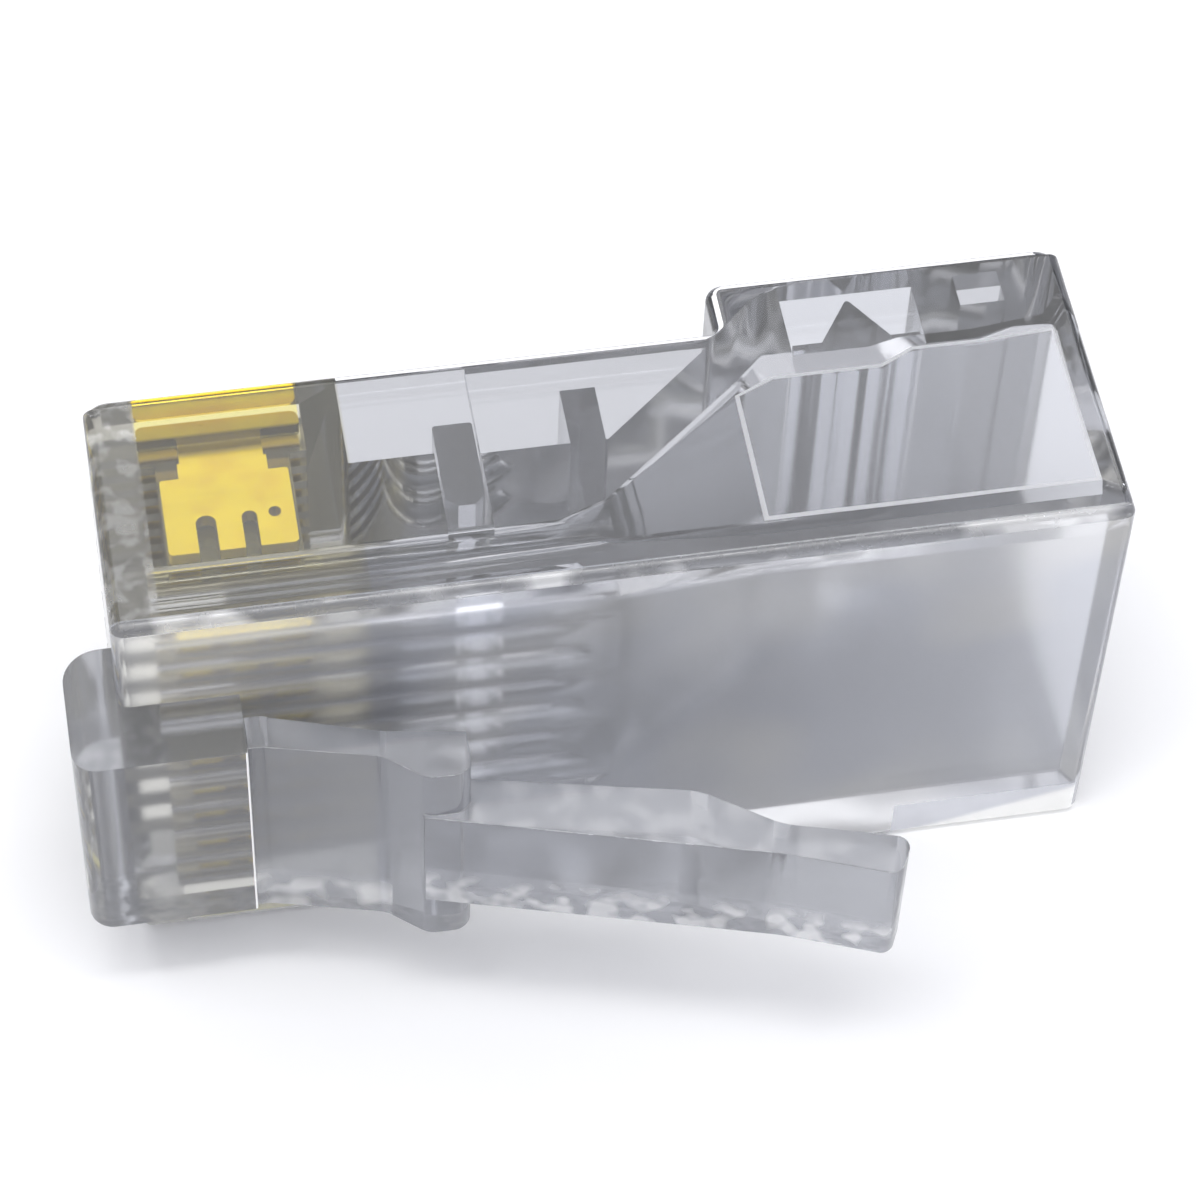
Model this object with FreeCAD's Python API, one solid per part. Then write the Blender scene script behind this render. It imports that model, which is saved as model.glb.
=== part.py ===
"""Clear 8-way modular plug with its latch lever, eight contact blades and two crimp bars.

Millimetres.  Working frame: X runs from the nose face (0) back to the cable entry, Y rises from the
latch-side face (0) to the contact side, Z crosses the width from the side face that it lies on (0).
The last step moves the origin to the middle of the resting side.
"""
import FreeCAD, Part
import math
import os

Vector = FreeCAD.Vector

# ---- housing ---------------------------------------------------------------------------------
BODY_LENGTH = 22.5            # nose face to rear face
BODY_WIDTH = 11.68
NOSE_HEIGHT = 6.54            # latch-side face to contact side, at the nose
REAR_HEIGHT = 7.96            # the same, at the raised cable end
REAR_SECTION = 8.23           # length of the raised cable end
CORNER_ROUND = 0.55           # silhouette corners
STEP_ROUND = 0.40
EDGE_ROUND = 0.28             # long outer edges
PARTING_STEP = 0.10           # the side faces step in this much above the parting line
PARTING_DROP = 0.36           # parting line, measured down from the contact side
PARTING_RAMP_LEAD = 0.52      # the parting line starts to climb this far before the step
PARTING_RAMP_LENGTH = 2.9

# ---- cable cavity ----------------------------------------------------------------------------
SIDE_WALL = 1.0
FLOOR_WALL = 1.1
TOP_WALL = 1.46
CAVITY_CORNER = 1.16          # bevel between the side walls and the ceiling
CAVITY_CORNER_REAR = 0.96     # the same, in the rear half
CAVITY_FOOT = 0.30            # bevel between the side walls and the floor
CAVITY_SETBACK = 0.23         # end of the funnel, behind the step
FUNNEL_END_CORNER = 0.5       # ceiling bevel there
FUNNEL_END_DROP = 1.06        # ceiling there, below the full ceiling
OPENING_LENGTH = 0.9          # from the funnel's end to the full ceiling
SHOULDER_RISE = 0.4           # the bevel starts this much higher in the rear half
RISE_SETBACK = 1.8            # where it climbs, behind the window's front
RISE_LENGTH = 0.8
ENTRY_FLARE = 0.48            # depth of the flared cable entry
ENTRY_LIFT = 0.20             # rise of the ceiling, from the pocket to the flare

# ---- conductor channels ----------------------------------------------------------------------
CONTACTS = 8
CONTACT_PITCH = 1.02
CHANNEL_Y = 2.15              # mean height of the channel axes
CHANNEL_STAGGER = 0.10        # alternate channels lie this much above and below it
CHANNEL_WALL = 0.10           # between neighbouring channels
CHANNEL_FRONT = 0.95          # blind front end
LEAD_IN_LENGTH = 1.5          # tapered ends of the walls between the channels
LEAD_IN_BEVEL = 0.10
MOUTH_SETBACK = 0.28          # channel mouths ahead of the ramp's foot

# ---- contact blades and their slots ----------------------------------------------------------
COMB_END = 5.65               # rear face of the comb that holds the blades
BLADE_THICKNESS = 0.35
BLADE_FRONT = 1.50            # front edge of the blade's body
BLADE_LENGTH = 2.87
SHOULDER_LENGTH = 0.44        # stepped shoulder at each end of the body
SHOULDER_Y = 4.86
NECK_FOOT = 5.28              # top of the body, where the neck starts
NECK_INSET = 0.50
CROWN_DROP = 0.10             # crown below the contact side
CROWN_DEPTH = 0.42
CROWN_OVERHANG = 0.40         # crown past the body, at each end
NOTCH_HEIGHT = 1.0            # open notches between the tines
NOTCHES = ((0.67, 0.45), (1.69, 0.34))   # start behind the blade's front edge, and width
NOTCH_ARCH = 0.49             # radius of the notches' arched tops, in widths
PIERCED_HOLE_X = 2.43         # small hole behind the rear notch, and its height over the tips
PIERCED_HOLE_Y = 0.90
PIERCED_HOLE_RADIUS = 0.14
TIP_CLEARANCE = 0.04          # tine tips and bar over the channels, before crimping
BLADE_SIDE_CLEARANCE = 0.07
BLADE_ROUND = 0.08            # stamped corners
TINE_ROUND = 0.12             # outer corners of the tines
CROWN_ROUND = 0.20            # ends of the contact face
BLADE_END_CLEARANCE = 0.06
CRIMP_TRAVEL = 0.75           # the die drives the blades this far
SLOT_MOUTH_DEPTH = 1.0        # open front of the slots, measured down from the contact side

# ---- trough over the channels, and its two cross bars -----------------------------------------
TROUGH_FLOOR = 4.25
TROUGH_WALL_FRONT = 0.95
TROUGH_WALL_REAR = 1.30
RAMP_LENGTH = 2.64            # sloping front wall of the raised end
RAMP_SHELF = 0.15             # between the top of the ramp and the step
RIB_TO_RAMP = 0.06            # fixed rib ahead of the ramp's foot
RIB_LENGTH = 0.80
RIB_TOP = 5.76
BAR_SETBACK = 1.97            # conductor bar behind the comb
BAR_LENGTH = 0.90
BAR_TOP = 5.06
BAR_ROUND = 0.08
BAR_FOOT_BEVEL = 0.26
BAR_CLEARANCE = 0.06
BAR_TRAVEL = 0.60             # the die drives the bar this far, on to the conductors

# ---- window and jacket anvil -----------------------------------------------------------------
WINDOW_SETBACK = 1.83         # behind the step
WINDOW_LENGTH = 3.1
WINDOW_MARGIN = 2.0           # ends of the window in from the side faces
ANVIL_LENGTH = 1.6            # wedge at its base
ANVIL_FLANGE = 0.16
ANVIL_TIP_DROP = 0.10         # wedge tip below the contact side
ANVIL_CLEARANCE = 0.06
ANVIL_KEEL = 0.18             # block under the wedge, that carries the teeth
ANVIL_TIP_ROUND = 0.08
TEETH = 3
TOOTH_DEPTH = 0.26
TOOTH_ROUND = 0.03
POCKET_SETBACK = 1.1          # shallow recess behind the window
POCKET_LENGTH = 1.05
POCKET_DEPTH = 0.45
POCKET_MARGIN = 2.6

# ---- latch -----------------------------------------------------------------------------------
LATCH_WIDTH = 6.17            # wide arm, with the catches
LEVER_WIDTH = 3.25            # narrow release lever
LIP_REACH = 1.12              # root block ahead of the nose face
LIP_TOP = 1.66
LIP_ROUND = 0.85
ROOT_BOTTOM = -1.58
ROOT_REAR = 2.65
HINGE_X = 2.95                # where the arm bends
HINGE_Y = -1.05
KNUCKLE_RADIUS = 0.42         # half the arm's thickness there
KNUCKLE_CLEARANCE = 0.05
CATCH_FRONT = 5.6
CATCH_REAR = 7.38
CATCH_FRONT_TOP = -1.44
CATCH_REAR_TOP = -1.70
CATCH_BOTTOM = -2.82
CATCH_LENGTH = 1.0            # flat bottom of the catches
CATCH_ROUND = 0.42
CATCH_LEAD_ROUND = 0.60
ARM_REAR_BOTTOM = -2.10       # underside of the arm, where the catches start
ARM_REAR_LEAD = 0.10
ARM_REAR_ROUND = 0.80
ARM_TOP_ROUND = 1.50
LEVER_FRONT = 6.3             # the lever's rib starts under the arm
LEVER_ROOT_TOP = -1.95
LEVER_ROOT_BOTTOM = -2.84
LEVER_BEND_FRONT = 12.35      # the lever's top drops in a soft S between these
LEVER_BEND_REAR = 14.0
LEVER_BEND_TOP = -3.02
LEVER_TAIL_TOP = -4.16
LEVER_BEND_ROUND = 1.6
LEVER_BELLY_ROUND = 6.0
LEVER_TAIL_THICKNESS = 0.81
LEVER_END = 16.75
LEVER_END_TOP = -4.93
LEVER_END_THICKNESS = 0.92
LEVER_END_RAKE = 0.45         # the end face leans forward this much towards its lower edge
LEVER_END_ROUND = 0.30

OVERCUT = 0.5                 # how far cutting shapes run past the faces they open
OVERLAP = 0.01                # how far joined cutting shapes run into each other

# ---- worked out from the sizes above ---------------------------------------------------------
STEP_X = BODY_LENGTH - REAR_SECTION
RAMP_TOP = STEP_X - RAMP_SHELF
RAMP_FOOT = RAMP_TOP - RAMP_LENGTH
RIB_REAR = RAMP_FOOT - RIB_TO_RAMP
BAR_FRONT = COMB_END + BAR_SETBACK
BAR_REAR = BAR_FRONT + BAR_LENGTH
CEILING = REAR_HEIGHT - TOP_WALL
SHOULDER = CEILING - CAVITY_CORNER
CAVITY_FRONT = STEP_X + CAVITY_SETBACK
WINDOW_FRONT = STEP_X + WINDOW_SETBACK
WINDOW_REAR = WINDOW_FRONT + WINDOW_LENGTH
POCKET_FRONT = WINDOW_REAR + POCKET_SETBACK
CHANNEL_MOUTH = RAMP_FOOT - MOUTH_SETBACK
CHANNEL_SPACING = math.hypot(CONTACT_PITCH, 2 * CHANNEL_STAGGER)
CHANNEL_RADIUS = (CHANNEL_SPACING - CHANNEL_WALL) / 2
CHANNELS_TOP = CHANNEL_Y + CHANNEL_STAGGER + CHANNEL_RADIUS
CHANNELS_BOTTOM = CHANNEL_Y - CHANNEL_STAGGER - CHANNEL_RADIUS
CROWN_TOP = NOSE_HEIGHT - CROWN_DROP
CROWN_FOOT = CROWN_TOP - CROWN_DEPTH
CROWN_SEAT = CROWN_FOOT - CRIMP_TRAVEL - BLADE_END_CLEARANCE
TINE_TIP = CHANNELS_TOP + TIP_CLEARANCE
BAR_FOOT = CHANNELS_TOP + TIP_CLEARANCE
BLADE_REAR = BLADE_FRONT + BLADE_LENGTH


# ---- drawing helpers -------------------------------------------------------------------------
def box(x0, x1, y0, y1, z0, z1):
    return Part.makeBox(x1 - x0, y1 - y0, z1 - z0, Vector(x0, y0, z0))


def rounded_wire(corners, z):
    """Closed outline through (x, y, radius) corners, each corner an arc of its radius."""
    points = [Vector(x, y, z) for x, y, _ in corners]
    arcs = []
    for i, (_, _, radius) in enumerate(corners):
        here = points[i]
        if radius == 0:
            arcs.append((here, None, here))
            continue
        to_last = (points[i - 1] - here).normalize()
        to_next = (points[(i + 1) % len(points)] - here).normalize()
        half = to_last.getAngle(to_next) / 2
        reach = radius / math.tan(half)
        inward = (to_last + to_next).normalize()
        middle = here + inward * (radius / math.sin(half) - radius)
        arcs.append((here + to_last * reach, middle, here + to_next * reach))
    edges = []
    for i, (start, middle, end) in enumerate(arcs):
        if middle is not None:
            edges.append(Part.Arc(start, middle, end).toShape())
        following = arcs[(i + 1) % len(arcs)][0]
        if end.distanceToPoint(following) > 1e-6:
            edges.append(Part.LineSegment(end, following).toShape())
    return Part.Wire(edges)


def plate(corners, z0, z1):
    """A flat part cut to an outline of (x, y, radius) corners, from z0 to z1."""
    face = Part.Face(rounded_wire(corners, z0))
    return face.extrude(Vector(0, 0, z1 - z0))


def centred_plate(corners, width):
    margin = (BODY_WIDTH - width) / 2
    return plate(corners, margin, BODY_WIDTH - margin)


def contact_z(index):
    """Middle plane of one contact.  Contact 1 (index 0) is the one furthest from the resting side."""
    return BODY_WIDTH / 2 - (index - (CONTACTS - 1) / 2) * CONTACT_PITCH


def channel_y(index):
    """Height of one channel's axis: alternate channels are staggered."""
    side = 1 if index % 2 else -1
    return CHANNEL_Y + side * CHANNEL_STAGGER


# ---- housing ---------------------------------------------------------------------------------
def parting_outline():
    """Outline of the full-width part below the parting line, with its smooth climb."""
    low = NOSE_HEIGHT - PARTING_DROP
    high = REAR_HEIGHT - PARTING_DROP
    start = STEP_X - PARTING_RAMP_LEAD
    end = start + PARTING_RAMP_LENGTH
    third = PARTING_RAMP_LENGTH / 3
    climb = Part.BezierCurve()
    climb.setPoles([
        Vector(start, low), Vector(start + third, low),
        Vector(start + third, high), Vector(end, high),
    ])
    corners = [
        Vector(start, low), Vector(0, low), Vector(0, 0),
        Vector(BODY_LENGTH, 0), Vector(BODY_LENGTH, high), Vector(end, high),
    ]
    sides = [Part.LineSegment(a, b).toShape() for a, b in zip(corners, corners[1:])]
    return Part.Wire(Part.__sortEdges__(sides + [climb.toShape()]))


def lower_belt():
    belt = Part.Face(parting_outline()).extrude(Vector(0, 0, BODY_WIDTH))

    def outer_corner(edge):
        bounds = edge.BoundBox
        at_ends = bounds.XMin > BODY_LENGTH - OVERLAP or bounds.XMax < OVERLAP
        along_bottom = bounds.YMax < OVERLAP
        return (at_ends or along_bottom) and bounds.YMin < OVERLAP

    return belt.makeFillet(EDGE_ROUND, [e for e in belt.Edges if outer_corner(e)])


def upper_shell():
    """Whole silhouette, slightly narrower, which shows above the parting line."""
    shell = plate([
        (0, EDGE_ROUND, 0),
        (0, NOSE_HEIGHT, CORNER_ROUND),
        (STEP_X, NOSE_HEIGHT, EDGE_ROUND / 2),
        (STEP_X, REAR_HEIGHT, STEP_ROUND),
        (BODY_LENGTH, REAR_HEIGHT, CORNER_ROUND),
        (BODY_LENGTH, EDGE_ROUND, 0),
    ], PARTING_STEP, BODY_WIDTH - PARTING_STEP)

    def outline_edge(edge):
        bounds = edge.BoundBox
        return bounds.ZLength < OVERLAP and bounds.YMax > EDGE_ROUND + OVERLAP

    return shell.makeFillet(EDGE_ROUND, [e for e in shell.Edges if outline_edge(e)])


def root_block():
    """Block at the nose that carries the latch: a rounded lip ahead of the nose, and its base."""
    inside = 2 * EDGE_ROUND
    block = centred_plate([
        (-LIP_REACH, LIP_TOP, LIP_ROUND),
        (inside, LIP_TOP, 0),
        (inside, inside, 0),
        (ROOT_REAR, inside, 0),
        (ROOT_REAR, ROOT_BOTTOM, 0),
        (-LIP_REACH, ROOT_BOTTOM, CORNER_ROUND),
    ], LATCH_WIDTH)
    socket = Part.makeCylinder(
        KNUCKLE_RADIUS + KNUCKLE_CLEARANCE, BODY_WIDTH, Vector(HINGE_X, HINGE_Y, 0))
    return block.cut(socket)


def cavity_section(x, side, floor, bevel, shoulder, ceiling, corner):
    """Eight-cornered section of the cable space at x."""
    left, right = side, BODY_WIDTH - side
    outline = [
        (floor, left + bevel), (floor, right - bevel), (floor + bevel, right), (shoulder, right),
        (ceiling, right - corner), (ceiling, left + corner), (shoulder, left),
        (floor + bevel, left),
    ]
    points = [Vector(x, y, z) for y, z in outline]
    return Part.makePolygon(points + points[:1])


def cable_cavity():
    """Lead-in to the channels, funnel, jacket space and flared entry, as one ruled loft."""
    side = contact_z(CONTACTS - 1) - CHANNEL_RADIUS
    thin = CHANNEL_RADIUS / 4
    funnel_ceiling = CEILING - FUNNEL_END_DROP
    rear_shoulder = SHOULDER + SHOULDER_RISE
    rise = WINDOW_FRONT + RISE_SETBACK
    corner, rear_corner, foot = CAVITY_CORNER, CAVITY_CORNER_REAR, CAVITY_FOOT
    high = CEILING + ENTRY_LIFT
    entry_shoulder = high - rear_corner + ENTRY_LIFT / 2
    # each station: x, side wall, floor, foot bevel, shoulder, ceiling, corner bevel
    stations = [
        (CHANNEL_MOUTH - LEAD_IN_LENGTH, side + thin, CHANNEL_Y - thin, thin / 2,
         CHANNEL_Y + thin, CHANNEL_Y + 1.5 * thin, thin),
        (CHANNEL_MOUTH, side, CHANNELS_BOTTOM, LEAD_IN_BEVEL,
         CHANNELS_TOP, CHANNELS_TOP + thin, thin),
        (CAVITY_FRONT, SIDE_WALL, FLOOR_WALL, foot,
         funnel_ceiling - FUNNEL_END_CORNER, funnel_ceiling, FUNNEL_END_CORNER),
        (CAVITY_FRONT + OPENING_LENGTH, SIDE_WALL, FLOOR_WALL, foot, SHOULDER, CEILING, corner),
        (rise, SIDE_WALL, FLOOR_WALL, foot, SHOULDER, CEILING, corner),
        (rise + RISE_LENGTH, SIDE_WALL, FLOOR_WALL, foot, rear_shoulder, CEILING, rear_corner),
        (POCKET_FRONT, SIDE_WALL, FLOOR_WALL, foot, rear_shoulder, CEILING, rear_corner),
        (BODY_LENGTH - ENTRY_FLARE, SIDE_WALL, FLOOR_WALL, foot,
         entry_shoulder, high, rear_corner),
        (BODY_LENGTH, SIDE_WALL - ENTRY_FLARE, FLOOR_WALL - ENTRY_FLARE, foot,
         entry_shoulder + ENTRY_FLARE, high + ENTRY_FLARE, rear_corner),
    ]
    sections = [cavity_section(*station) for station in stations]
    mouth = cavity_section(BODY_LENGTH + OVERCUT, *stations[-1][1:])
    return Part.makeLoft(sections + [mouth], True, True)


def contact_slot(index):
    """Slot for one blade: wide for the crown, open at the nose, narrow for the body."""
    half = BLADE_THICKNESS / 2 + BLADE_SIDE_CLEARANCE
    z0, z1 = contact_z(index) - half, contact_z(index) + half
    front = BLADE_FRONT - BLADE_END_CLEARANCE
    rear = BLADE_REAR + BLADE_END_CLEARANCE
    top = NOSE_HEIGHT + OVERCUT
    wide = box(front - CROWN_OVERHANG, rear + CROWN_OVERHANG, CROWN_SEAT, top, z0, z1)
    mouth = box(-OVERCUT, front, NOSE_HEIGHT - SLOT_MOUTH_DEPTH, top, z0, z1)
    narrow = box(front, rear, channel_y(index), CROWN_SEAT + EDGE_ROUND, z0, z1)
    return wide.fuse([mouth, narrow])


def channel(index):
    length = CHANNEL_MOUTH - CHANNEL_FRONT
    start = Vector(CHANNEL_FRONT, channel_y(index), contact_z(index))
    return Part.makeCylinder(CHANNEL_RADIUS, length, start, Vector(1, 0, 0))


def trough():
    """Open space between the comb and the raised end, with its sloping rear wall."""
    top = NOSE_HEIGHT + OVERCUT
    front_end = BAR_REAR + BAR_CLEARANCE
    front_z, rear_z = TROUGH_WALL_FRONT, TROUGH_WALL_REAR
    front = box(COMB_END, front_end, TROUGH_FLOOR, top, front_z, BODY_WIDTH - front_z)
    rear = plate([
        (front_end - OVERLAP, TROUGH_FLOOR, 0), (RAMP_FOOT, TROUGH_FLOOR, 0),
        (RAMP_TOP, NOSE_HEIGHT, 0), (RAMP_TOP, top, 0), (front_end - OVERLAP, top, 0),
    ], rear_z, BODY_WIDTH - rear_z)
    rib = box(RIB_REAR - RIB_LENGTH, RIB_REAR, TROUGH_FLOOR, RIB_TOP, 0, BODY_WIDTH)
    bar_window = box(
        BAR_FRONT - BAR_CLEARANCE, front_end, BAR_FOOT - BAR_TRAVEL - BAR_CLEARANCE,
        TROUGH_FLOOR + OVERLAP, front_z, BODY_WIDTH - front_z)
    return front.fuse([rear.cut(rib), bar_window])


def roof_openings():
    """Window of the jacket anvil, and the shallow recess behind it."""
    over = REAR_HEIGHT + OVERCUT
    window = box(WINDOW_FRONT, WINDOW_REAR, CEILING - OVERCUT, over,
                 WINDOW_MARGIN, BODY_WIDTH - WINDOW_MARGIN)
    pocket = box(POCKET_FRONT, POCKET_FRONT + POCKET_LENGTH, REAR_HEIGHT - POCKET_DEPTH, over,
                 POCKET_MARGIN, BODY_WIDTH - POCKET_MARGIN)
    return [window, pocket]


def housing():
    body = lower_belt().fuse([upper_shell(), root_block()]).removeSplitter()
    cutters = [cable_cavity(), trough()] + roof_openings()
    cutters += [contact_slot(i) for i in range(CONTACTS)]
    cutters += [channel(i) for i in range(CONTACTS)]
    return body.cut(cutters)


# ---- latch -----------------------------------------------------------------------------------
def latch_lever():
    """Wide arm with its two catches, and the narrow release lever behind them."""
    arm = centred_plate([
        (HINGE_X, HINGE_Y + KNUCKLE_RADIUS, 0),
        (CATCH_FRONT, CATCH_FRONT_TOP, ARM_TOP_ROUND),
        (CATCH_REAR, CATCH_REAR_TOP, 0),
        (CATCH_REAR, CATCH_BOTTOM, CATCH_ROUND),
        (CATCH_REAR - CATCH_LENGTH, CATCH_BOTTOM, CATCH_LEAD_ROUND),
        (CATCH_FRONT - ARM_REAR_LEAD, ARM_REAR_BOTTOM, ARM_REAR_ROUND),
        (HINGE_X, HINGE_Y - KNUCKLE_RADIUS, 0),
    ], LATCH_WIDTH)
    margin = (BODY_WIDTH - LATCH_WIDTH) / 2
    knuckle = Part.makeCylinder(KNUCKLE_RADIUS, LATCH_WIDTH, Vector(HINGE_X, HINGE_Y, margin))
    lever = centred_plate([
        (LEVER_FRONT, CATCH_REAR_TOP, 0),
        (CATCH_REAR, LEVER_ROOT_TOP, 0),
        (LEVER_BEND_FRONT, LEVER_BEND_TOP, LEVER_BEND_ROUND),
        (LEVER_BEND_REAR, LEVER_TAIL_TOP, LEVER_BEND_ROUND),
        (LEVER_END, LEVER_END_TOP, LEVER_END_ROUND),
        (LEVER_END - LEVER_END_RAKE, LEVER_END_TOP - LEVER_END_THICKNESS, LEVER_END_ROUND),
        (LEVER_BEND_REAR, LEVER_TAIL_TOP - LEVER_TAIL_THICKNESS, LEVER_BELLY_ROUND),
        (LEVER_FRONT, LEVER_ROOT_BOTTOM, 0),
    ], LEVER_WIDTH)
    return arm.fuse([knuckle, lever]).removeSplitter()


# ---- contact blades --------------------------------------------------------------------------
def contact_blade(index):
    """Stamped blade: crown, neck, shoulders, and tines that pierce the conductor."""
    step_front, step_rear = BLADE_FRONT + SHOULDER_LENGTH, BLADE_REAR - SHOULDER_LENGTH
    neck_front, neck_rear = BLADE_FRONT + NECK_INSET, BLADE_REAR - NECK_INSET
    crown_front, crown_rear = BLADE_FRONT - CROWN_OVERHANG, BLADE_REAR + CROWN_OVERHANG
    half = BLADE_THICKNESS / 2
    z0, z1 = contact_z(index) - half, contact_z(index) + half
    blade = plate([
        (BLADE_FRONT, TINE_TIP, TINE_ROUND), (BLADE_REAR, TINE_TIP, TINE_ROUND),
        (BLADE_REAR, SHOULDER_Y, BLADE_ROUND), (step_rear, SHOULDER_Y, 0),
        (step_rear, NECK_FOOT, 0), (neck_rear, NECK_FOOT, 0),
        (neck_rear, CROWN_FOOT, BLADE_ROUND), (crown_rear, CROWN_FOOT, BLADE_ROUND),
        (crown_rear, CROWN_TOP, CROWN_ROUND), (crown_front, CROWN_TOP, CROWN_ROUND),
        (crown_front, CROWN_FOOT, BLADE_ROUND), (neck_front, CROWN_FOOT, BLADE_ROUND),
        (neck_front, NECK_FOOT, 0), (step_front, NECK_FOOT, 0),
        (step_front, SHOULDER_Y, 0), (BLADE_FRONT, SHOULDER_Y, BLADE_ROUND),
    ], z0, z1)
    openings = []
    for start, width in NOTCHES:
        left, right = BLADE_FRONT + start, BLADE_FRONT + start + width
        top = TINE_TIP + NOTCH_HEIGHT
        openings.append(plate([
            (left, TINE_TIP - OVERCUT, 0), (right, TINE_TIP - OVERCUT, 0),
            (right, top, width * NOTCH_ARCH), (left, top, width * NOTCH_ARCH),
        ], z0 - OVERCUT, z1 + OVERCUT))
    hole = Vector(BLADE_FRONT + PIERCED_HOLE_X, TINE_TIP + PIERCED_HOLE_Y, z0 - OVERCUT)
    openings.append(Part.makeCylinder(PIERCED_HOLE_RADIUS, BLADE_THICKNESS + 2 * OVERCUT, hole))
    return blade.cut(openings)


# ---- crimp bars ------------------------------------------------------------------------------
def conductor_bar():
    """Bar across the trough that the crimping tool drives down on the conductors."""
    margin = TROUGH_WALL_FRONT + BAR_CLEARANCE
    bevel = BAR_FOOT_BEVEL
    return plate([
        (BAR_FRONT, BAR_TOP, BAR_ROUND), (BAR_FRONT, BAR_FOOT + bevel, 0),
        (BAR_FRONT + bevel, BAR_FOOT, 0), (BAR_REAR - bevel, BAR_FOOT, 0),
        (BAR_REAR, BAR_FOOT + bevel, 0), (BAR_REAR, BAR_TOP, BAR_ROUND),
    ], margin, BODY_WIDTH - margin)


def jacket_anvil():
    """Toothed wedge in the window, that the crimping tool drives down on the cable's jacket."""
    front, rear = WINDOW_FRONT + ANVIL_CLEARANCE, WINDOW_REAR - ANVIL_CLEARANCE
    middle = (front + rear) / 2
    base_front, base_rear = middle - ANVIL_LENGTH / 2, middle + ANVIL_LENGTH / 2
    keel = CEILING - ANVIL_KEEL
    deck = CEILING + ANVIL_FLANGE
    margin = WINDOW_MARGIN + ANVIL_CLEARANCE
    outline = [
        (front, CEILING, 0), (front, deck, 0), (base_front, deck, 0),
        (middle, REAR_HEIGHT - ANVIL_TIP_DROP, ANVIL_TIP_ROUND), (base_rear, deck, 0),
        (rear, deck, 0), (rear, CEILING, 0), (base_rear, CEILING, 0),
    ]
    pitch = ANVIL_LENGTH / TEETH
    for tooth in range(TEETH):
        heel = base_rear - tooth * pitch
        outline.append((heel, keel, 0))
        outline.append((heel - pitch / 2, keel - TOOTH_DEPTH, TOOTH_ROUND))
    outline += [(base_front, keel, 0), (base_front, CEILING, 0)]
    return plate(outline, margin, BODY_WIDTH - margin)


# ---- output ----------------------------------------------------------------------------------
def all_parts():
    parts = {
        "housing": housing(),
        "latch_lever": latch_lever(),
        "conductor_bar": conductor_bar(),
        "jacket_anvil": jacket_anvil(),
    }
    for index in range(CONTACTS):
        parts["contact_blade_%d" % (index + 1)] = contact_blade(index)
    return parts


def write_parts():
    os.makedirs("parts", exist_ok=True)
    parts = all_parts()
    whole = Part.makeCompound(list(parts.values())).BoundBox
    to_origin = Vector(-whole.Center.x, -whole.Center.y, 0)
    print("origin at X %.4f, Y %.4f of the working frame" % (whole.Center.x, whole.Center.y))
    for name, shape in parts.items():
        shape.translate(to_origin)
        shape.exportStep("parts/%s.step" % name)
        print("%-16s valid %s, solids %d, %.3f mm3"
              % (name, shape.isValid(), len(shape.Solids), shape.Volume))


write_parts()
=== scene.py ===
"""Looks of a clear modular plug: one clear moulding with its latch, and eight gold contact blades.

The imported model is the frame.  X runs from the nose back to the cable entry, Y from the latch side to
the contact side, and the plug lies on a side face, so Z crosses its width.  Lengths are in metres.
"""
import math

import bmesh
import bpy
from mathutils import Matrix, Vector


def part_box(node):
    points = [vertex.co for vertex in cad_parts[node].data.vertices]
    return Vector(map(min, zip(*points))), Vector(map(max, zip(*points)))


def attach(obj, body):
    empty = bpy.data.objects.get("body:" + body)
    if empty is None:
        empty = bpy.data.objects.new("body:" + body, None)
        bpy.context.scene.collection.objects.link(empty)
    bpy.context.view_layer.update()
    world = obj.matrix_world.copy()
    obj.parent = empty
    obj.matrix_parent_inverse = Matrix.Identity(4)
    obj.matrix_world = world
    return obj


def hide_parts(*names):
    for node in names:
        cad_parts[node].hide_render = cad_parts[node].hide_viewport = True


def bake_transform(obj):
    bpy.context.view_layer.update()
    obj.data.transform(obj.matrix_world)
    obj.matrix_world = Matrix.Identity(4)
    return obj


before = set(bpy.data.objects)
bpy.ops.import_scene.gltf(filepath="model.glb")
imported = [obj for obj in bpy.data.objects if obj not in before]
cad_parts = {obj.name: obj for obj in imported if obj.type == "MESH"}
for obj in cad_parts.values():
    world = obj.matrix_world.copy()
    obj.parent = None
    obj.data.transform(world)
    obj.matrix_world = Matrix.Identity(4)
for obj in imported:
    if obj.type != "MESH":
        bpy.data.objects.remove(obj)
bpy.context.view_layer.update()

MM = 0.001

# ---- places on the plug, from the frame --------------------------------------------------------
BLADES = sorted(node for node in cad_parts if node.startswith("contact_blade"))
HOUSING_LOW, HOUSING_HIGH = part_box("housing")
BLADE_LOW, BLADE_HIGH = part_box(BLADES[0])

# along the plug
NOSE_X = HOUSING_LOW.x + 1.12 * MM          # the root block stands this far ahead of the nose
CROWN_FRONT_X, CROWN_REAR_X = BLADE_LOW.x, BLADE_HIGH.x
COMB_END_X = NOSE_X + 5.65 * MM             # rear face of the comb that holds the blades
STEP_X = NOSE_X + 14.27 * MM                # the contact side steps up to the roof here
REAR_X = HOUSING_HIGH.x
MOUTH_X = REAR_X - 2.0 * MM                 # where the cable space flares

# from the latch side to the contact side
CROWN_TOP_Y = BLADE_HIGH.y
CROWN_FOOT_Y = CROWN_TOP_Y - 0.95 * MM
GOLD_REFLECTION_FOOT_Y = CROWN_TOP_Y - 0.16 * MM
CONTACT_SIDE_Y = CROWN_TOP_Y + 0.10 * MM
LATCH_SIDE_Y = CONTACT_SIDE_Y - 6.54 * MM
TROUGH_FLOOR_Y = LATCH_SIDE_Y + 4.2 * MM

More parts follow.
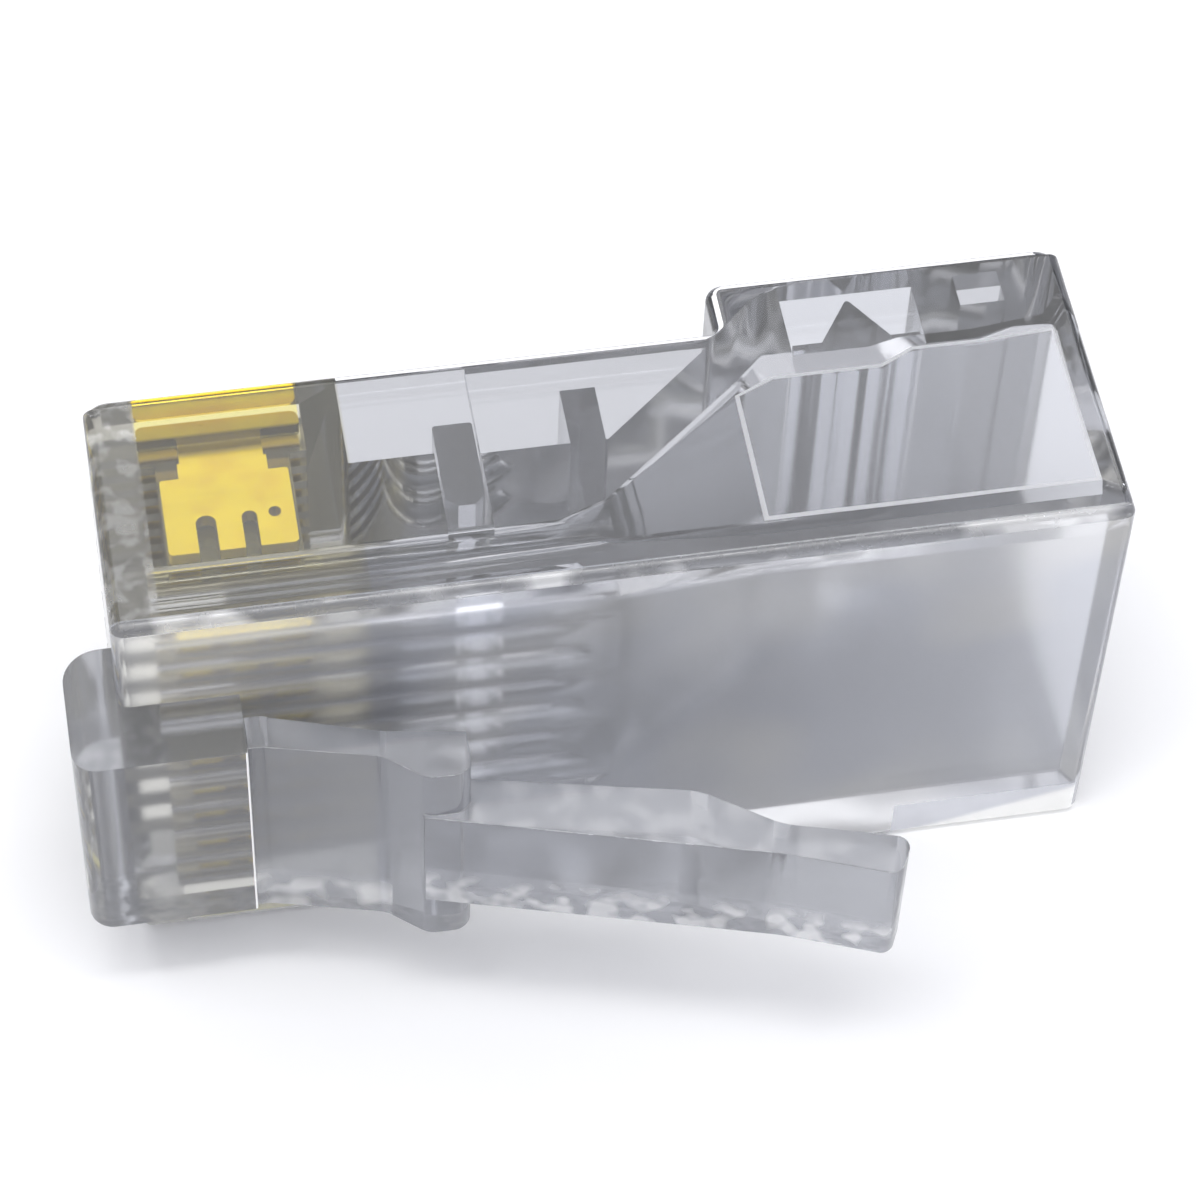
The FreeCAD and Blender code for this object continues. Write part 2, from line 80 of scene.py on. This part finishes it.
# across the plug
PLUG_WIDTH = HOUSING_HIGH.z
SIDE_WALL = 1.0 * MM
OUTER_SLOT = min(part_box(node)[0].z for node in BLADES)      # from a side face to its nearest blade
SKIN_DEPTH = 0.45 * MM                      # outer faces and their rounds lie within this
EDGE_ROUND = 0.28 * MM                      # a long edge's round reaches this far from the edge

# frosted strip on the latch side, with a painted highlight and a painted glow
HEEL_X = REAR_X - 4.6 * MM
HEEL_TOP_Z = 1.25 * MM
HEEL_SLOPE = 0.25                           # it widens towards the cable entry

# root of the latch, and the lumpy parts of its arm and lever, with painted glints
KNUCKLE_RADIUS = 0.42 * MM
SOCKET_RADIUS = KNUCKLE_RADIUS + 0.06 * MM
HINGE_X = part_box("latch_lever")[0].x + KNUCKLE_RADIUS
HINGE_Y = LATCH_SIDE_Y - 1.05 * MM
ROOT_REAR_X = HINGE_X - 0.30 * MM
LATCH_GAP = 0.01 * MM                       # between the root block and the arm's front end
FOOT_REAR_X, FOOT_TOP_Z = NOSE_X + 5.6 * MM, 4.2 * MM
LUMPS_FRONT_X, LUMPS_TOP_Z = NOSE_X + 7.6 * MM, 5.5 * MM

# ---- colours -----------------------------------------------------------------------------------
# Clear plastic has no colour inside, so its tint is met at its faces, once on each way in or out.
SKIN_TINT = (0.70, 0.71, 0.75, 1)
DEEP_TINT = (0.35, 0.355, 0.372, 1)         # painted shade on the contact side, trough and rear, where the walls are thick
SATIN_TINT = (0.86, 0.88, 0.94, 1)
SOFT_LIGHT_TINT = (1.0, 1.0, 1.0, 1)             # painted soft patches of light in the satin side
INNER_TINT = (0.46, 0.47, 0.495, 1)         # painted shade on the walls of the channels and the cable space
CHEEK_TINT = (0.60, 0.585, 0.50, 1)         # side faces of the nose, in painted shade with the gold's colour painted in
NOSE_TINT = (0.25, 0.24, 0.19, 1)           # front and roof of the nose, in painted shade with the gold's colour painted in
GOLD_REFLECTION_TINT = (0.97, 0.80, 0.12, 1)           # painted gold reflection on the outermost slot walls beside the crowns' tops
WINDOW_TINT = (0.97, 0.92, 0.48, 1)         # outermost slot walls, with only a blade behind them, painted with its gold reflection
COMB_TINT = (0.60, 0.56, 0.42, 1)           # the other slot walls, in painted olive shade with the gold's colour in it
LATCH_TINT = (0.49, 0.50, 0.53, 1)
# painted shade on the latch's upper edges and the latch side's upper round, under painted glints
EDGE_SHADE_TINT = (0.35, 0.355, 0.37, 1)
FLASH_AND_GLINT_TINT = (0.97, 0.97, 0.97, 1)          # mould flash, and painted glints on the latch's lumps and edges
# the heel's painted highlight, with a painted glow
HEEL_TINT = (0.55, 0.56, 0.60, 1)
FRONT_SHADE_TINT = (0.44, 0.43, 0.39, 1)           # painted shade on the front ends of the nose's side faces
HIGHLIGHT_MARK_TINT = (0.86, 0.86, 0.84, 1)           # painted white highlights on the heel and the front ends
GOLD = (0.96, 0.78, 0.01, 1)
GOLD_DEEP = (0.86, 0.62, 0.01, 1)
GOLD_SHADE = (0.20, 0.15, 0.02, 1)          # painted shade on the crown's sides, deep in their slots
FLOOR_COLOUR = (0.98, 0.98, 0.98, 1)
ROOM_COLOUR = (0.74, 0.745, 0.79, 1)


# ---- finishes of the clear plastic -------------------------------------------------------------
def downwards(z, depth):
    """A fade that grows from a height down to a depth below it."""
    return (0, 0, -1), -z, -z + depth


HEEL_EDGE = HEEL_SLOPE * HEEL_X             # along the fade, the slanting upper edge of the strip
HEEL_BLUR = 0.15 * MM
HEEL_FADE = ((HEEL_SLOPE, 0, -1), HEEL_EDGE - HEEL_BLUR, HEEL_EDGE + HEEL_BLUR)

CLEAR_FINISHES = {
    "polished": dict(tint=SKIN_TINT, relief=0.003 * MM, roughness=0.06, clarity=0.98),
    # deep: painted shade on the contact side, trough and rear
    "deep": dict(tint=DEEP_TINT, relief=0.003 * MM, roughness=0.06, clarity=0.95),
    # satin: its crests carry painted soft patches of light
    "satin": dict(
        tint=SATIN_TINT, relief=0.004 * MM, roughness=0.20, clarity=0.75,
        crest_tint=SOFT_LIGHT_TINT, wave_scale=230.0),
    # inner: painted shade in the channels and the cable space
    "inner": dict(tint=INNER_TINT, roughness=0.09),
    # cheek and nose: painted shade, with the gold's colour painted in
    "cheek": dict(tint=CHEEK_TINT, relief=0.003 * MM, roughness=0.06, clarity=0.98),
    "nose": dict(tint=NOSE_TINT, relief=0.003 * MM, roughness=0.06, clarity=0.98),
    # painted gold reflection on clear slot walls and rounds
    "gold_reflection": dict(tint=GOLD_REFLECTION_TINT, roughness=0.12),
    # window: painted gold reflection of the blade behind
    "window": dict(tint=WINDOW_TINT, roughness=0.06),
    # comb: painted olive shade from the gold
    "comb": dict(tint=COMB_TINT, roughness=0.15),
    "latch": dict(tint=LATCH_TINT, relief=0.005 * MM, roughness=0.13, clarity=0.80),
    # real grain relief, with painted glints on its crests that grow downwards towards the floor
    "grain_with_glints": dict(
        tint=LATCH_TINT, relief=0.04 * MM, roughness=0.10, scuffs=0.15, clarity=0.65,
        crest_tint=FLASH_AND_GLINT_TINT, wave_scale=1700.0, fade=downwards(LUMPS_TOP_Z, 0.7 * MM)),
    # foot: real grain relief, with painted glints that grow downwards towards the floor
    "foot": dict(
        tint=LATCH_TINT, relief=0.03 * MM, roughness=0.10, scuffs=0.15, clarity=0.65,
        crest_tint=FLASH_AND_GLINT_TINT, wave_scale=1200.0, fade=downwards(FOOT_TOP_Z, 0.7 * MM)),
    # painted shade on upper edges, with painted glints on the crests of a real relief
    "shade_with_glints": dict(
        tint=EDGE_SHADE_TINT, relief=0.02 * MM, roughness=0.15, scuffs=0.25, clarity=0.55,
        crest_tint=FLASH_AND_GLINT_TINT, wave_scale=700.0),
    # mould flash, painted white, with a painted glow
    "flash_with_glow": dict(tint=FLASH_AND_GLINT_TINT, roughness=0.35, scuffs=0.15, clarity=0.20, glow=0.2),
    # heel: a painted highlight and a painted glow along a frosted strip of the latch side
    "heel": dict(
        tint=HEEL_TINT, roughness=0.30, scuffs=0.15, clarity=0.30, glow=0.25,
        crest_tint=HIGHLIGHT_MARK_TINT, patchy=False, fade=HEEL_FADE),
    # painted shade on the front ends of the nose's sides, with painted white highlights
    "front_shade_glints": dict(
        tint=FRONT_SHADE_TINT, relief=0.003 * MM, roughness=0.10, scuffs=0.20, clarity=0.80,
        crest_tint=HIGHLIGHT_MARK_TINT, wave_scale=2600.0),
}
FINISH_SLOT = {name: slot for slot, name in enumerate(CLEAR_FINISHES)}

CLEAR_IOR = 1.585                           # polycarbonate
WAVE_SCALE = 450.0
SCUFF_SCALE = 2600.0
SCUFF_RANGE = (0.42, 0.72)
CREST_RANGE = (0.47, 0.62)


# ---- materials ---------------------------------------------------------------------------------
def new_group(name, inputs, outputs):
    """An empty node group with named sockets: (name, type, value) in, and (name, type) out."""
    group = bpy.data.node_groups.new(name, "ShaderNodeTree")
    for label, kind, value in inputs:
        socket = group.interface.new_socket(label, in_out="INPUT", socket_type=kind)
        socket.default_value = value
    for label, kind in outputs:
        group.interface.new_socket(label, in_out="OUTPUT", socket_type=kind)
    return group


def add(tree, kind, **settings):
    """Adds a node.  A setting named like a socket sets it, and any other sets a property."""
    node = tree.nodes.new(kind)
    for key, value in settings.items():
        label = key.replace("_", " ")
        if label in node.inputs:
            node.inputs[label].default_value = value
        else:
            setattr(node, key, value)
    return node


def map_range(tree, low, high, to_low=0.0, to_high=1.0, ease="LINEAR"):
    node = add(tree, "ShaderNodeMapRange", interpolation_type=ease)
    for label, value in (("From Min", low), ("From Max", high), ("To Min", to_low), ("To Max", to_high)):
        node.inputs[label].default_value = value
    return node


def flow_marks():
    """Faint waviness of a moulded face, with fine scuffs that dull it a little."""
    group = new_group("moulded_face", [
        ("Vector", "NodeSocketVector", (0, 0, 0)),
        ("Wave Scale", "NodeSocketFloat", WAVE_SCALE),
        ("Scuff Scale", "NodeSocketFloat", SCUFF_SCALE),
        ("Polish", "NodeSocketFloat", 0.05),
        ("Dulling", "NodeSocketFloat", 0.06),
    ], [("Height", "NodeSocketFloat"), ("Roughness", "NodeSocketFloat"), ("Crest", "NodeSocketFloat")])
    source = add(group, "NodeGroupInput")
    out = add(group, "NodeGroupOutput")
    wave = add(group, "ShaderNodeTexNoise", Detail=1.0)
    scuff = add(group, "ShaderNodeTexNoise", Detail=2.0, Roughness=0.6)
    shade = map_range(group, *SCUFF_RANGE)
    dull_and_shade = add(group, "ShaderNodeMath", operation="ADD")
    crest = map_range(group, *CREST_RANGE)
    link = group.links.new
    link(source.outputs["Vector"], wave.inputs["Vector"])
    link(source.outputs["Vector"], scuff.inputs["Vector"])
    link(source.outputs["Wave Scale"], wave.inputs["Scale"])
    link(source.outputs["Scuff Scale"], scuff.inputs["Scale"])
    link(source.outputs["Polish"], dull_and_shade.inputs[0])
    link(source.outputs["Dulling"], dull_and_shade.inputs[1])
    link(source.outputs["Polish"], shade.inputs["To Min"])
    link(dull_and_shade.outputs[0], shade.inputs["To Max"])
    link(scuff.outputs["Fac"], shade.inputs["Value"])
    link(wave.outputs["Fac"], crest.inputs["Value"])
    link(wave.outputs["Fac"], out.inputs["Height"])
    link(shade.outputs["Result"], out.inputs["Roughness"])
    link(crest.outputs["Result"], out.inputs["Crest"])
    return group


MOULDED_FACE = flow_marks()


def new_material(name):
    material = bpy.data.materials.new(name)
    material.use_nodes = True
    return material, material.node_tree, material.node_tree.nodes["Principled BSDF"]


def fading(tree, place, direction, start, end):
    """A factor that grows from 0 to 1 between two distances along a direction."""
    along = add(tree, "ShaderNodeVectorMath", operation="DOT_PRODUCT")
    along.inputs[1].default_value = direction
    factor = map_range(tree, start, end, ease="SMOOTHSTEP")
    tree.links.new(place.outputs["Object"], along.inputs[0])
    tree.links.new(along.outputs["Value"], factor.inputs["Value"])
    return factor.outputs["Result"]


def crest_amount(tree, place, face, fade, patchy):
    """How much of the crest tint, a painted highlight, shows: on the crests, growing along a fade if
    there is one.

    A fade that isn't patchy takes in the whole face, and not only its crests.
    """
    crests = face.outputs["Crest"]
    if not fade:
        return crests
    growth = fading(tree, place, *fade)
    if not patchy:
        return growth
    both = add(tree, "ShaderNodeMath", operation="MULTIPLY")
    tree.links.new(crests, both.inputs[0])
    tree.links.new(growth, both.inputs[1])
    return both.outputs[0]


def clear_plastic(
        name, tint, roughness, relief=0.0, scuffs=0.0, clarity=1.0, glow=0.0,
        crest_tint=None, wave_scale=WAVE_SCALE, fade=None, patchy=True):
    """Clear moulded polycarbonate.  Relief is the depth of its waviness, in metres.

    Glow is painted light: an emission standing in for the light that thick clear plastic carries along
    inside and lets out at a rough edge.
    A crest tint shows on the crests of the waviness, as painted highlights.
    """
    material, tree, shader = new_material(name)
    link = tree.links.new
    shader.inputs["Base Color"].default_value = tint
    shader.inputs["Transmission Weight"].default_value = clarity
    shader.inputs["IOR"].default_value = CLEAR_IOR
    shader.inputs["Emission Color"].default_value = (1, 1, 1, 1)
    shader.inputs["Emission Strength"].default_value = glow
    place = add(tree, "ShaderNodeTexCoord")
    face = add(tree, "ShaderNodeGroup", node_tree=MOULDED_FACE)
    face.inputs["Polish"].default_value = roughness
    face.inputs["Dulling"].default_value = scuffs
    face.inputs["Wave Scale"].default_value = wave_scale
    link(place.outputs["Object"], face.inputs["Vector"])
    link(face.outputs["Roughness"], shader.inputs["Roughness"])
    if crest_tint:
        tone = add(tree, "ShaderNodeMix", data_type="RGBA")
        tone.inputs["A"].default_value = tint
        tone.inputs["B"].default_value = crest_tint
        link(tone.outputs["Result"], shader.inputs["Base Color"])
        if glow:
            link(tone.outputs["Result"], shader.inputs["Emission Color"])
        link(crest_amount(tree, place, face, fade, patchy), tone.inputs["Factor"])
    if relief:
        bump = add(tree, "ShaderNodeBump", Distance=relief)
        link(face.outputs["Height"], bump.inputs["Height"])
        link(bump.outputs["Normal"], shader.inputs["Normal"])
    return material


DRAG_STRETCH = (0.12, 1.0, 1.0)             # drag lines run along the plug
DRAG_SCALE = 9000.0
PATCH_SCALE = 1300.0
PATCH_RANGE = (0.45, 0.75)
GOLD_ROUGHNESS = (0.22, 0.42)
GOLD_RELIEF = 0.004 * MM
BAND_FOOT = (CROWN_FOOT_Y - 0.12 * MM, CROWN_FOOT_Y + 0.12 * MM)
BAND_TOP = (CROWN_TOP_Y - 0.45 * MM, CROWN_TOP_Y - 0.32 * MM)


def gold_plate(name):
    """Gold-plated blade: a bright stamped face with fine drag lines and a deeper tone in patches.

    A band below the crown's top is painted in shade, where the blade sits in its slot.
    """
    material, tree, shader = new_material(name)
    link = tree.links.new
    shader.inputs["Metallic"].default_value = 1.0
    place = add(tree, "ShaderNodeTexCoord")
    stretch = add(tree, "ShaderNodeMapping", Scale=DRAG_STRETCH)
    drag = add(tree, "ShaderNodeTexNoise", Scale=DRAG_SCALE, Detail=3.0)
    cloud = add(tree, "ShaderNodeTexNoise", Scale=PATCH_SCALE, Detail=3.0)
    patch = map_range(tree, *PATCH_RANGE)
    rough = map_range(tree, 0.0, 1.0, *GOLD_ROUGHNESS)
    height = add(tree, "ShaderNodeSeparateXYZ")
    # painted shade band on the crown's sides, below its top
    band = map_range(tree, *BAND_FOOT, ease="SMOOTHSTEP")
    top = map_range(tree, *BAND_TOP, ease="SMOOTHSTEP")
    dull_and_shade = add(tree, "ShaderNodeMath", operation="SUBTRACT", use_clamp=True)
    tone = add(tree, "ShaderNodeMix", data_type="RGBA")
    tone.inputs["A"].default_value = GOLD
    tone.inputs["B"].default_value = GOLD_DEEP
    shaded = add(tree, "ShaderNodeMix", data_type="RGBA")
    shaded.inputs["B"].default_value = GOLD_SHADE
    bump = add(tree, "ShaderNodeBump", Distance=GOLD_RELIEF)
    link(place.outputs["Object"], stretch.inputs["Vector"])
    link(stretch.outputs["Vector"], drag.inputs["Vector"])
    link(place.outputs["Object"], cloud.inputs["Vector"])
    link(cloud.outputs["Fac"], patch.inputs["Value"])
    link(patch.outputs["Result"], tone.inputs["Factor"])
    link(place.outputs["Object"], height.inputs["Vector"])
    link(height.outputs["Y"], band.inputs["Value"])
    link(height.outputs["Y"], top.inputs["Value"])
    link(band.outputs["Result"], dull_and_shade.inputs[0])
    link(top.outputs["Result"], dull_and_shade.inputs[1])
    link(dull_and_shade.outputs[0], shaded.inputs["Factor"])
    link(tone.outputs["Result"], shaded.inputs["A"])
    link(shaded.outputs["Result"], shader.inputs["Base Color"])
    link(drag.outputs["Fac"], rough.inputs["Value"])
    link(rough.outputs["Result"], shader.inputs["Roughness"])
    link(drag.outputs["Fac"], bump.inputs["Height"])
    link(bump.outputs["Normal"], shader.inputs["Normal"])
    return material


# ---- meshes ------------------------------------------------------------------------------------
WELD = 1e-7
NEAR = 0.005 * MM
FLAT = math.radians(0.5)
CREASE = math.radians(28)
FACE_WEIGHT = 100           # 50 is neutral, and 100 lets large flat faces keep their own normals


def node_copy(node, name):
    """A new piece with a node's shape, its loose triangles merged and its flat faces whole."""
    bm = bmesh.new()
    bm.from_mesh(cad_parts[node].data)
    bmesh.ops.remove_doubles(bm, verts=bm.verts, dist=WELD)
    bmesh.ops.dissolve_limit(bm, angle_limit=FLAT, verts=bm.verts, edges=bm.edges)
    mesh = bpy.data.meshes.new(name)
    piece = bpy.data.objects.new(name, mesh)
    bpy.context.collection.objects.link(piece)
    return piece, bm


def finish_mesh(piece, bm, materials):
    """Writes the shape into the piece, smooth across its rounded faces and sharp at its creases.

    Edges too short to keep are dropped first, so that the mesh is closed when it is exported.
    """
    bmesh.ops.dissolve_degenerate(bm, dist=WELD, edges=bm.edges)
    bm.normal_update()
    bm.to_mesh(piece.data)
    bm.free()
    for polygon in piece.data.polygons:
        polygon.use_smooth = True
    piece.data.set_sharp_from_angle(angle=CREASE)
    weighted = piece.modifiers.new("flat_faces", "WEIGHTED_NORMAL")
    weighted.keep_sharp = True
    weighted.weight = FACE_WEIGHT
    for material in materials:
        piece.data.materials.append(material)


def split(bm, place, across, faces=None):
    """Divides the faces that a plane crosses, or only those given, so that a finish can end there."""
    if faces is None:
        faces = bm.faces[:]
    edges = list(dict.fromkeys(edge for face in faces for edge in face.edges))
    verts = list(dict.fromkeys(vert for edge in edges for vert in edge.verts))
    bmesh.ops.bisect_plane(bm, geom=verts + edges + faces, dist=WELD, plane_co=place, plane_no=across)


def round_edges(bm, edges, width, segments, slot=-1):
    """Small rounds on sharp edges, with a finish of their own where a slot is given."""
    bmesh.ops.bevel(
        bm, geom=edges, offset=width, offset_type="OFFSET", segments=segments, profile=0.5,
        affect="EDGES", material=slot, clamp_overlap=True)


def near(value, target):
    return abs(value - target) < NEAR


# ---- which finish each face has ----------------------------------------------------------------
SLOPED = 0.15               # least part of a normal along an axis, on a round
FACING = 0.3                # the same, on a face that is turned more than a little to that side
SQUARE = 0.9                # the same, on a face square to that axis
SLACK = 0.05 * MM
FRONT_DEPTH = 0.2 * MM      # the nose's front face and its rounds lie within this
COMB_SLACK = 0.1 * MM
SEAM_LEAST, SEAM_MOST = 0.85, 0.99          # part of a normal across the plug, on the parting line
SEAM_FOOT_Y = LATCH_SIDE_Y + 5 * MM
SEAM_REAR_X = REAR_X - 0.8 * MM


def from_side(middle):
    """How far a point is from the nearer side face."""
    return min(middle.z, PLUG_WIDTH - middle.z)


def on_parting_line(face):
    """A narrow band of the long rounds beside the trough and the roof, where the mould's halves met."""
    middle = face.calc_center_median()
    along_top = middle.y > SEAM_FOOT_Y and COMB_END_X < middle.x < SEAM_REAR_X
    at_seam = SEAM_LEAST < abs(face.normal.z) < SEAM_MOST
    return along_top and at_seam and from_side(middle) < EDGE_ROUND


def is_window(face):
    """Whether a face is the wall between a side of the nose and the outermost blade."""
    middle = face.calc_center_median()
    beside_blade = CROWN_FRONT_X < middle.x < CROWN_REAR_X
    return SKIN_DEPTH < from_side(middle) < OUTER_SLOT and abs(face.normal.z) > SQUARE and beside_blade


def latch_side_finish(middle, normal):
    """Finish of the latch side and of its long rounds."""
    # the round along the latch side's upper edge gets painted shade with painted glints
    on_upper_edge = normal.y < -SLOPED and normal.z > SLOPED and middle.z > PLUG_WIDTH - EDGE_ROUND
    if on_upper_edge:
        return "shade_with_glints"
    # the rear strip of the latch side gets a painted highlight and glow
    return "heel" if middle.x > HEEL_X and middle.z < HEEL_TOP_Z else "satin"


def housing_finish(face):
    """Which clear finish a face of the housing has."""
    middle, normal = face.calc_center_median(), face.normal
    on_root = middle.y < LATCH_SIDE_Y - SLACK or middle.x < NOSE_X - SLACK
    if on_root:
        return "grain_with_glints" if normal.z < -FACING else "latch"
    # the parting line: mould flash, painted white with a painted glow
    if on_parting_line(face):
        return "flash_with_glow"
    # top rounds and windows beside the crowns get a painted gold reflection
    on_top_round = abs(normal.z) > SLOPED and normal.y > SLOPED and middle.y > CONTACT_SIDE_Y - EDGE_ROUND
    if on_top_round and CROWN_FRONT_X < middle.x < CROWN_REAR_X:
        return "gold_reflection"
    if is_window(face):
        return "gold_reflection" if middle.y > GOLD_REFLECTION_FOOT_Y else "window"
    if middle.y < LATCH_SIDE_Y + EDGE_ROUND:
        return latch_side_finish(middle, normal)
    in_nose = middle.x < COMB_END_X
    if from_side(middle) < SKIN_DEPTH:
        # the front ends of the nose's sides get painted shade with painted highlights
        if middle.x < CROWN_FRONT_X:
            return "front_shade_glints"
        return "cheek" if in_nose else "polished"
    behind_comb = middle.x > COMB_END_X + COMB_SLACK
    at_end = middle.x < NOSE_X + FRONT_DEPTH or middle.x > REAR_X - SKIN_DEPTH
    in_trough = behind_comb and middle.x < STEP_X and middle.y > TROUGH_FLOOR_Y
    roof_y = HOUSING_HIGH.y if middle.x > STEP_X else CONTACT_SIDE_Y
    if at_end or in_trough or middle.y > roof_y - SKIN_DEPTH:
        return "nose" if in_nose else "deep"
    if not behind_comb:
        return "comb"
    return "deep" if middle.x > MOUTH_X else "inner"


def latch_finish(face):
    """Which clear finish a face of the arm or the lever has."""
    middle, normal = face.calc_center_median(), face.normal
    on_thumb_side = normal.y < -FACING
    if on_thumb_side and middle.z < FOOT_TOP_Z and middle.x < FOOT_REAR_X:
        return "foot"
    # lumps and down-facing faces carry painted glints
    lumpy = on_thumb_side and middle.z < LUMPS_TOP_Z and middle.x > LUMPS_FRONT_X
    if lumpy or normal.z < -FACING:
        return "grain_with_glints"
    # upper thumb-side faces of the lever get painted shade with painted glints
    return "shade_with_glints" if on_thumb_side and normal.z > FACING else "latch"


# ---- pieces ------------------------------------------------------------------------------------
FROST_WIDTH = 0.06 * MM
LATCH_ROUND = 0.2 * MM


def cavity_outline(bm):
    """Edges around the upper flat wall of the cable space."""
    return [
        edge for edge in bm.edges
        if edge.calc_face_angle(0) > CREASE / 4
        and edge.verts[0].co.x > STEP_X
        and all(near(vert.co.z, PLUG_WIDTH - SIDE_WALL) for vert in edge.verts)
    ]


def plain_root(bm):
    """Closes the hollow of the hinge, so that the root block ends in a flat face."""
    for vert in bm.verts:
        in_socket = math.hypot(vert.co.x - HINGE_X, vert.co.y - HINGE_Y) < SOCKET_RADIUS
        if in_socket and vert.co.x < ROOT_REAR_X:
            vert.co.x = ROOT_REAR_X


def root_edge(bm):
    """Lower rear edge of the root block."""
    return [
        edge for edge in bm.edges
        if edge.calc_face_angle(0) > CREASE
        and all(near(vert.co.x, ROOT_REAR_X) and vert.co.y < HINGE_Y for vert in edge.verts)
        and near(edge.verts[0].co.y, edge.verts[1].co.y)
    ]


def clear_body(finishes):
    """The housing, with a plain rear face on the root block that carries the latch."""
    piece, bm = node_copy("housing", "clear_body")
    for x in (CROWN_FRONT_X, CROWN_REAR_X, COMB_END_X, HEEL_X):
        split(bm, (x, 0, 0), (1, 0, 0))
    bm.normal_update()
    windows = [face for face in bm.faces if is_window(face)]
    split(bm, (0, GOLD_REFLECTION_FOOT_Y, 0), (0, 1, 0), windows)
    heel = [face for face in bm.faces if face.normal.y < -SQUARE and face.calc_center_median().x > HEEL_X]
    split(bm, (0, 0, HEEL_TOP_Z), (0, 0, 1), heel)
    bm.normal_update()
    for face in bm.faces:
        face.material_index = FINISH_SLOT[housing_finish(face)]
    # the cavity outline and the root edge get rounds painted white with a painted glow, as bright lines
    round_edges(bm, cavity_outline(bm), FROST_WIDTH, 2, FINISH_SLOT["flash_with_glow"])
    plain_root(bm)
    round_edges(bm, root_edge(bm), FROST_WIDTH, 2, FINISH_SLOT["flash_with_glow"])
    finish_mesh(piece, bm, finishes)
    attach(piece, "plug_body")
    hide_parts("housing")


def latch_arm(finishes):
    """Arm, catches and release lever in one run, starting just behind the root block."""
    piece, bm = node_copy("latch_lever", "latch_arm")
    for vert in bm.verts:
        if vert.co.x < HINGE_X - LATCH_GAP:
            vert.co.x = ROOT_REAR_X + LATCH_GAP
    round_edges(bm, [edge for edge in bm.edges if edge.calc_face_angle(0) > CREASE], LATCH_ROUND, 3)
    for z in (LUMPS_TOP_Z, FOOT_TOP_Z):
        split(bm, (0, 0, z), (0, 0, 1))
    bm.normal_update()
    for face in bm.faces:
        face.material_index = FINISH_SLOT[latch_finish(face)]
    finish_mesh(piece, bm, finishes)
    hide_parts("latch_lever")
    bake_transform(piece)


def crimp_bars(finishes):
    """The conductor bar and the jacket anvil."""
    for node in ("conductor_bar", "jacket_anvil"):
        piece, bm = node_copy(node, node + "_clear")
        finish_mesh(piece, bm, [finishes[FINISH_SLOT["polished"]]])
        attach(piece, node)
        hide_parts(node)


def gold_blades():
    gold = gold_plate("gold_plate")
    for node in BLADES:
        number = node.rsplit("_", 1)[1]
        piece, bm = node_copy(node, "gold_blade_" + number)
        finish_mesh(piece, bm, [gold])
        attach(piece, "contact_" + number)
        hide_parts(node)


def make_pieces():
    finishes = [clear_plastic("clear_" + name, **look) for name, look in CLEAR_FINISHES.items()]
    clear_body(finishes)
    latch_arm(finishes)
    crimp_bars(finishes)
    gold_blades()


# ---- floor, light and camera -------------------------------------------------------------------
FLOOR_SIZE = 0.6
FLOOR_DROP = 0.02 * MM                      # keeps the floor apart from the clear face that lies on it

LAMPS = {                                   # place, size and power
    "key": ((0.05, 0.20, 0.28), (0.22, 0.12), 0.108),
    "overhead": ((-0.02, -0.07, 0.36), (0.26, 0.20), 0.31),
    "strip": ((-0.16, -0.02, 0.32), (0.16, 0.04), 0.12),
    "edge_strip": ((0.0, -0.055, 0.335), (0.22, 0.035), 0.18),
}

CAMERA_PLACE = Vector((-11.42, -55.15, 83.89)) * MM
CAMERA_AIM = Vector((0.64, 2.56, 5.84)) * MM
CAMERA_ROLL = math.radians(2.655)
CAMERA_LENS = 126.9


def make_floor():
    """A pale floor that is seen only from above."""
    bm = bmesh.new()
    drop = Matrix.Translation((0, 0, -FLOOR_DROP))
    bmesh.ops.create_grid(bm, x_segments=1, y_segments=1, size=FLOOR_SIZE, matrix=drop)
    mesh = bpy.data.meshes.new("floor")
    bm.to_mesh(mesh)
    bm.free()
    floor = bpy.data.objects.new("floor", mesh)
    bpy.context.collection.objects.link(floor)
    material, tree, shader = new_material("pale_floor")
    shader.inputs["Base Color"].default_value = FLOOR_COLOUR
    shader.inputs["Roughness"].default_value = 1.0
    shader.inputs["Specular IOR Level"].default_value = 0.0
    side = add(tree, "ShaderNodeNewGeometry")
    above = add(tree, "ShaderNodeMath", operation="SUBTRACT")
    above.inputs[0].default_value = 1.0
    tree.links.new(side.outputs["Backfacing"], above.inputs[1])
    tree.links.new(above.outputs[0], shader.inputs["Alpha"])
    mesh.materials.append(material)


def make_world():
    world = bpy.data.worlds.new("studio")
    bpy.context.scene.world = world
    world.use_nodes = True
    fill = world.node_tree.nodes["Background"]
    fill.inputs["Color"].default_value = ROOM_COLOUR
    fill.inputs["Strength"].default_value = 1.0


def soft_lamp(name, place, size, power):
    """A rectangular lamp that shines at the part's origin."""
    light = bpy.data.lights.new(name, "AREA")
    light.shape = "RECTANGLE"
    light.size, light.size_y = size
    light.energy = power
    lamp = bpy.data.objects.new(name, light)
    bpy.context.collection.objects.link(lamp)
    lamp.location = place
    lamp.rotation_euler = (-Vector(place)).to_track_quat("-Z", "Y").to_euler()


def make_lamps():
    for name, (place, size, power) in LAMPS.items():
        soft_lamp(name, place, size, power)


def make_camera():
    data = bpy.data.cameras.new("camera")
    data.lens = CAMERA_LENS
    data.clip_start = 1 * MM
    camera = bpy.data.objects.new("camera", data)
    bpy.context.collection.objects.link(camera)
    camera.location = CAMERA_PLACE
    turn = (CAMERA_AIM - CAMERA_PLACE).to_track_quat("-Z", "Y").to_matrix()
    camera.rotation_euler = (turn @ Matrix.Rotation(CAMERA_ROLL, 3, "Z")).to_euler()
    bpy.context.scene.camera = camera


make_camera()
make_pieces()
make_floor()
make_world()
make_lamps()
bpy.context.scene.view_settings.view_transform = "Standard"
